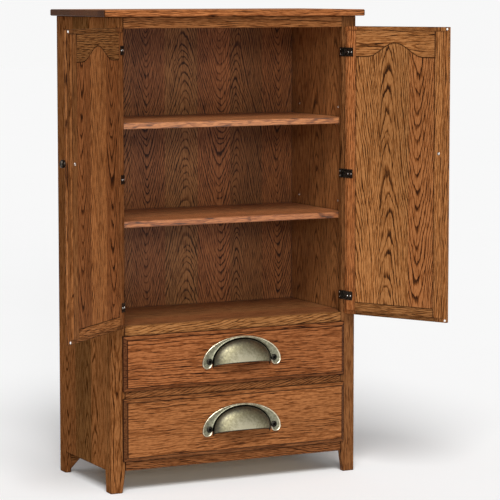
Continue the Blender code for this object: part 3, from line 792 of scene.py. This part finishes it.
def make_dome(node, body, place, reach):
    """Hollow dome, closed between its two skins, and the rolled rim along its lower edge, dark as a
    painted shadow line.
    """
    work = bmesh.new()
    outer, outer_crown = add_shell(work, reach, 0.0)
    inner, inner_crown = add_shell(work, reach, DOME_WALL)
    for i in range(DOME_AROUND):
        work.faces.new((outer[0][i], outer[0][i + 1], inner[0][i + 1], inner[0][i]))
    for end in (0, DOME_AROUND):
        back = [line[end] for line in outer] + [outer_crown]
        front = [line[end] for line in inner] + [inner_crown]
        for i in range(DOME_UP):
            work.faces.new((back[i], back[i + 1], front[i + 1], front[i]))
    path = [(first.co + second.co) / 2 for first, second in zip(outer[0], inner[0])]
    mesh_piece(node + "_dome", work, BRASS, body, place)
    work = bmesh.new()
    add_tube(work, path, RIM_RADIUS)
    # The rim's dark screw metal is a painted shadow line along the dome's lower edge.
    mesh_piece(node + "_rim", work, METAL["screw_dark"], body, place)


def make_pull_screws(node, body, place):
    """A dark screw in each lobe of the flange, with painted shade black on its cross and a painted shadow
    ring round its foot.
    """
    for side, sign in (("left", -1), ("right", 1)):
        work = bmesh.new()
        spot = Vector((sign * PULL_SCREW_SIDE, -PULL_SCREW_SEAT, PULL_SCREW_LIFT))
        add_cross_head(work, PULL_SCREW_RADIUS, facing_place(spot, -Y_AXIS))
        screw = mesh_piece(f"{node}_screw_{side}", work, METAL["screw_dark"], body, place)
        # Black for painted shade on the cross and painted shadow round the foot.
        screw.data.materials.append(METAL["painted_shadow"])
        top = spot.y - PULL_SCREW_RADIUS * HEAD_HEIGHT
        foot = spot.y - PULL_SCREW_FOOT
        for polygon in screw.data.polygons:
            if polygon.center.y < top or polygon.center.y > foot:
                polygon.material_index = 1


def make_pull(drawer):
    """Cup pull in fine detail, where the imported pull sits."""
    node = f"cup_pull_{drawer}"
    body = drawer + "_drawer"
    low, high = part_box(node)
    place = Matrix.Translation(Vector(((low.x + high.x) / 2, high.y, high.z - FLANGE_RISE)))
    make_flange(node, body, place)
    make_groove(node, body, place)
    make_dome(node, body, place, high.y - low.y)
    make_pull_screws(node, body, place)


def door_frame(side):
    """Placement of a door's own frame: on its hinge axis, turned as the door stands."""
    joint = JOINTS[side + "_door_hinge"]
    return Matrix.Translation(Vector(joint["pos_m"])) @ Matrix.Rotation(math.radians(SWING[side]), 4, "Z")


def door_box(side, node):
    """Lowest and highest corner of a node in its door's own frame."""
    inverse = door_frame(side).inverted()
    corners = [inverse @ vertex.co for vertex in NODES[node].data.vertices]
    low = Vector([min(corner[axis] for corner in corners) for axis in range(3)])
    high = Vector([max(corner[axis] for corner in corners) for axis in range(3)])
    return low, high


def make_hinge_screws(side, sign, place):
    """Two screws in the door leaf and two in the case leaf of each hinge."""
    for height in ("low", "mid", "high"):
        low, high = door_box(side, f"hinge_{side}_{height}_door")
        far = high.x if sign > 0 else low.x
        middle = (low.z + high.z) / 2
        work = bmesh.new()
        for inset in DOOR_LEAF_INSETS:
            spot = Vector((far - sign * inset, high.y, middle))
            add_cross_head(work, HINGE_SCREW_RADIUS, facing_place(spot, Y_AXIS))
        name = f"hinge_{side}_{height}_door_screws"
        mesh_piece(name, work, METAL["screw_bright"], side + "_door", place)

        low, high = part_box(f"hinge_{side}_{height}_case")
        far = high.x if sign > 0 else low.x
        middle = (low.z + high.z) / 2
        work = bmesh.new()
        for lift in CASE_LEAF_LIFTS:
            spot = Vector((far, high.y - CASE_LEAF_INSET, middle + lift))
            add_cross_head(work, HINGE_SCREW_RADIUS * CASE_SCREW_SHARE, facing_place(spot, sign * X_AXIS))
        mesh_piece(f"hinge_{side}_{height}_case_screws", work, METAL["screw_bright"], "cabinet")


def make_knob_screw(side, place):
    """Head of the knob's screw on the door's inner face."""
    low, high = door_box(side, f"door_{side}_knob")
    inner_face = door_box(side, f"door_{side}_free_stile")[1].y
    work = bmesh.new()
    spot = Vector(((low.x + high.x) / 2, inner_face, (low.z + high.z) / 2))
    add_cross_head(work, KNOB_SCREW_RADIUS, facing_place(spot, Y_AXIS))
    mesh_piece(f"door_{side}_knob_screw", work, METAL["screw_bright"], side + "_door", place)


def make_bumpers(side, sign, place):
    """A clear bumper on the lip at each free corner of a door."""
    profile = [(BUMPER_RADIUS, 0.0), (BUMPER_RADIUS, BUMPER_SIDE)]
    for i in range(1, 5):
        turn = math.pi / 2 * i / 4.5
        profile.append((BUMPER_RADIUS * math.cos(turn), BUMPER_SIDE + BUMPER_DOME * math.sin(turn)))
    low, high = door_box(side, f"door_{side}_free_stile")
    edge = high.x if sign > 0 else low.x
    inset = REBATE_WIDTH / 2
    for level, z in (("low", low.z + inset), ("high", high.z - inset)):
        work = bmesh.new()
        spot = Vector((edge - sign * inset, high.y - REBATE_DEPTH, z))
        add_lathe(work, profile, FITTING_SEGMENTS, facing_place(spot, Y_AXIS))
        mesh_piece(f"door_{side}_bumper_{level}", work, CLEAR_RUBBER, side + "_door", place)


def make_pin_sleeves():
    """Empty shelf-pin sleeves in the case sides, one above each shelf pin."""
    profile = [(SLEEVE_RADIUS * share, height) for share, height in SLEEVE_PROFILE]
    for name in ("upper", "lower"):
        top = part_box("shelf_" + name)[1].z
        for side, sign in (("left", -1), ("right", 1)):
            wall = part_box("side_panel_" + side)
            face = wall[1].x if sign < 0 else wall[0].x
            for where in ("front", "rear"):
                pin = centre_of(f"pin_{name}_{side}_{where}")
                spot = Vector((face, pin.y, top + SLEEVE_LIFT))
                work = bmesh.new()
                add_lathe(work, profile, FITTING_SEGMENTS, facing_place(spot, -sign * X_AXIS))
                mesh_piece(f"sleeve_{name}_{side}_{where}", work, METAL["sleeve_metal"], "cabinet")


def light_sun(name, heading, height, power, spread):
    """Even soft light from a heading left of the front and a height above the floor, in degrees."""
    data = bpy.data.lights.new(name, "SUN")
    data.energy = power * math.pi
    data.angle = math.radians(spread)
    lamp = bpy.data.objects.new(name, data)
    bpy.context.scene.collection.objects.link(lamp)
    lamp.rotation_euler = (math.radians(90.0 - height), 0.0, math.radians(-heading))


def make_floor():
    """Plain pale floor."""
    bpy.ops.mesh.primitive_circle_add(vertices=FLOOR_SIDES, radius=FLOOR_RADIUS, fill_type="NGON")
    floor = bpy.context.object
    floor.name = "studio_floor"
    material, net, shader = new_material("floor_paint")
    where = net.add("ShaderNodeTexCoord").outputs["Object"]
    mottle = net.noise(where, 1.5, 3.0)
    net.feed(shader.inputs["Base Color"], net.blend(mottle, FLOOR_SHADE, FLOOR_PALE))
    shader.inputs["Roughness"].default_value = 0.9
    shader.inputs["Specular IOR Level"].default_value = 0.0
    floor.data.materials.append(material)


def make_studio():
    """White surroundings, one large key light and a low fill."""
    world = bpy.data.worlds.new("studio")
    world.use_nodes = True
    net = Net(world.node_tree)
    seen = net.add("ShaderNodeLightPath").outputs["Is Camera Ray"]
    sky = world.node_tree.nodes["Background"]
    net.feed(sky.inputs["Strength"], net.gain(seen, BACKDROP - AMBIENT, AMBIENT))
    sky.inputs["Color"].default_value = (1.0, 1.0, 1.0, 1.0)
    bpy.context.scene.world = world
    light_sun("key", KEY_HEADING, KEY_HEIGHT, KEY_POWER, KEY_SPREAD)
    light_sun("fill", FILL_HEADING, FILL_HEIGHT, FILL_POWER, FILL_SPREAD)
    bpy.context.scene.view_settings.view_transform = "Standard"


def make_camera():
    """Camera in front of the case and to its left, looking slightly down."""
    data = bpy.data.cameras.new("camera")
    data.lens = CAMERA_LENS
    data.sensor_width = SENSOR
    data.clip_end = CAMERA_REACH
    camera = bpy.data.objects.new("camera", data)
    bpy.context.scene.collection.objects.link(camera)
    camera.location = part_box("stile_left")[0] + CAMERA_PLACE
    camera.rotation_euler = (math.radians(90.0 - CAMERA_DROP), 0.0, math.radians(-CAMERA_HEADING))
    bpy.context.scene.camera = camera


for default in ("Cube", "Light", "Camera"):
    if default in bpy.data.objects:
        bpy.data.objects.remove(bpy.data.objects[default], do_unlink=True)

OAK_GROUP = make_oak_group()
make_camera()
make_floor()
make_studio()
dress_case()
dress_drawers()
dress_doors()

BRASS = make_patina_brass_with_painted_light()
METAL = {name: make_metal(name, *looks) for name, looks in METAL_LOOKS.items()}
CLEAR_RUBBER = make_rubber()

for drawer in ("upper", "lower"):
    make_pull(drawer)
for door, sign in (("left", 1), ("right", -1)):
    place = door_frame(door)
    make_hinge_screws(door, sign, place)
    make_knob_screw(door, place)
    make_bumpers(door, sign, place)
make_pin_sleeves()
dress_fittings()
